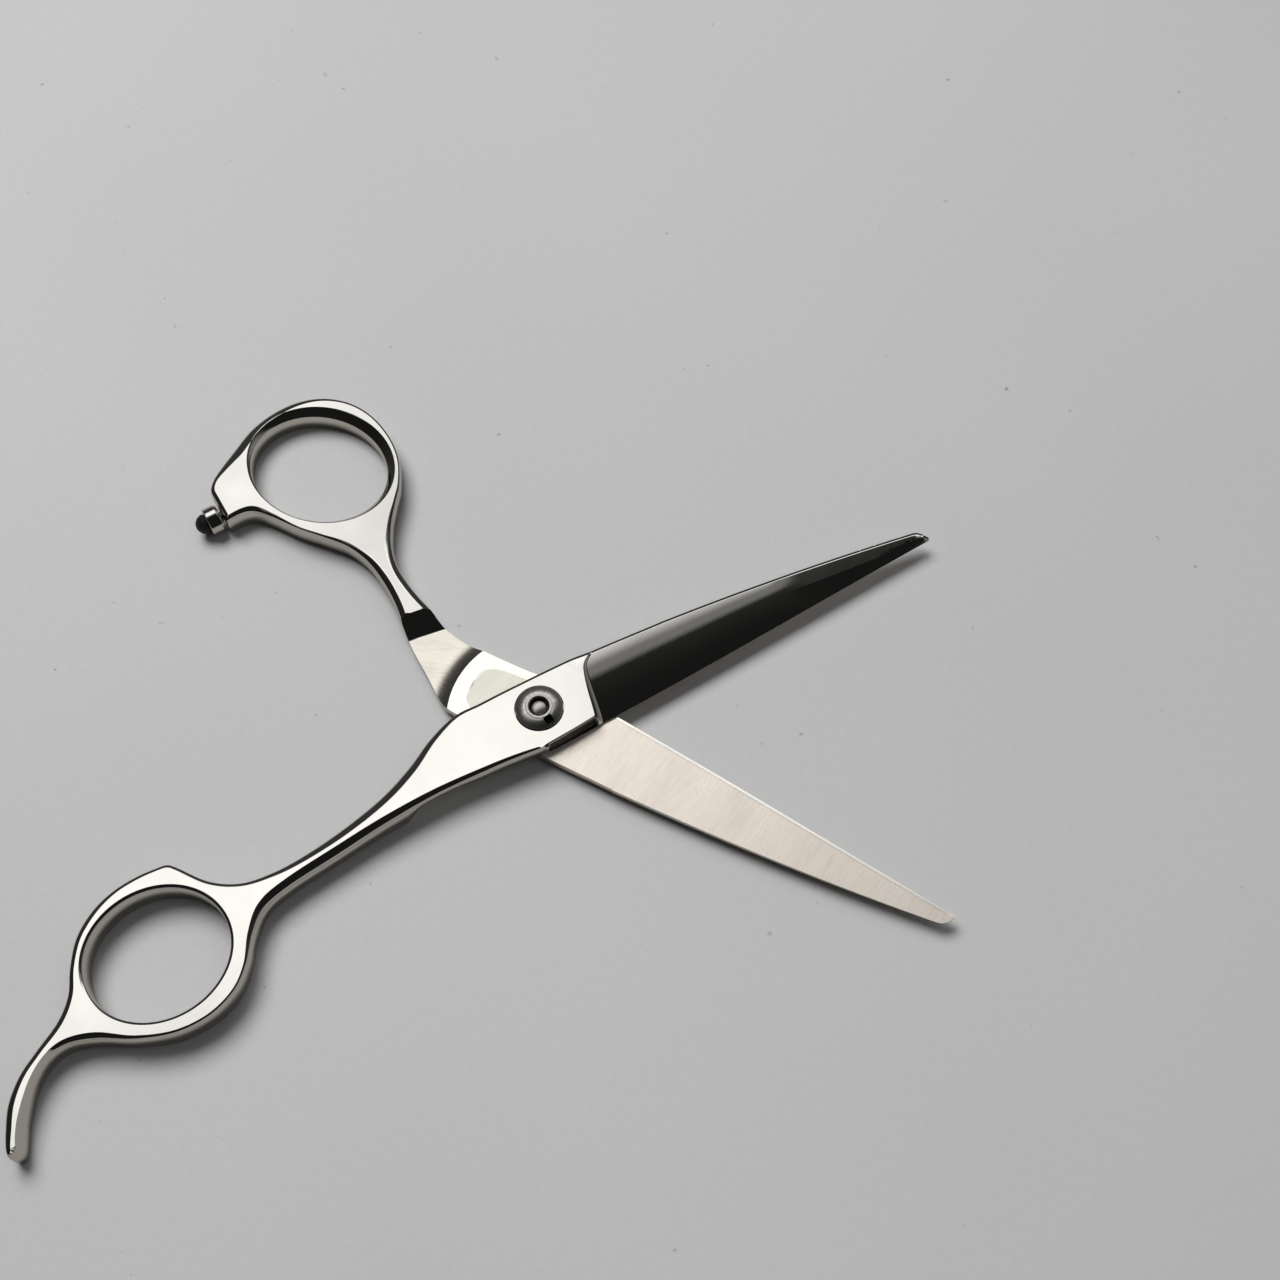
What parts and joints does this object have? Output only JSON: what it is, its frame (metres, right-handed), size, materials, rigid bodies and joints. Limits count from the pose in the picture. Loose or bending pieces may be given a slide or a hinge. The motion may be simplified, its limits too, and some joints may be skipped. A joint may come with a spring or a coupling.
{
  "type": "hair cutting shears",
  "caption": "Open offset-handle hair cutting shears with convex blades, finger and thumb rings, a finger rest, an adjustable pivot screw and a rubber bumper.",
  "frame": {"origin": "on the pivot axis, at the flat closed back of the pivot stud, which is the face the shears lie on", "axes": "+Z along the pivot axis towards the tension nut, +X along the line that halves the open blades, towards the tips, +Y towards the thumb ring"},
  "size_m": [0.1383, 0.1286, 0.0069],
  "materials": {
    "polished_steel": "mirror polished, with a cross-ground satin inner face on the blades",
    "brushed_steel": "turned",
    "nylon": "smooth",
    "black_rubber": "matt"
  },
  "bodies": {
    "finger_side": {"finger_half": "polished_steel", "pivot_bush": "nylon", "spring_washer": "brushed_steel"},
    "thumb_side": {"thumb_half": "polished_steel", "bumper_collar": "polished_steel", "bumper_screw": "brushed_steel", "bumper_pad": "black_rubber", "pivot_stud": "polished_steel", "glide_washer": "nylon"},
    "tension_nut": {"tension_nut": "brushed_steel"}
  },
  "joints": [
    {"name": "blade_pivot", "type": "hinge", "parent": "finger_side", "child": "thumb_side", "pos_m": [0, 0, 0], "axis": [0, 0, 1], "range_deg": [-60, 54]},
    {"name": "tension_turn", "type": "hinge", "parent": "thumb_side", "child": "tension_nut", "pos_m": [0, 0, 0], "axis": [0, 0, 1], "range_deg": [-90, 90]}
  ]
}
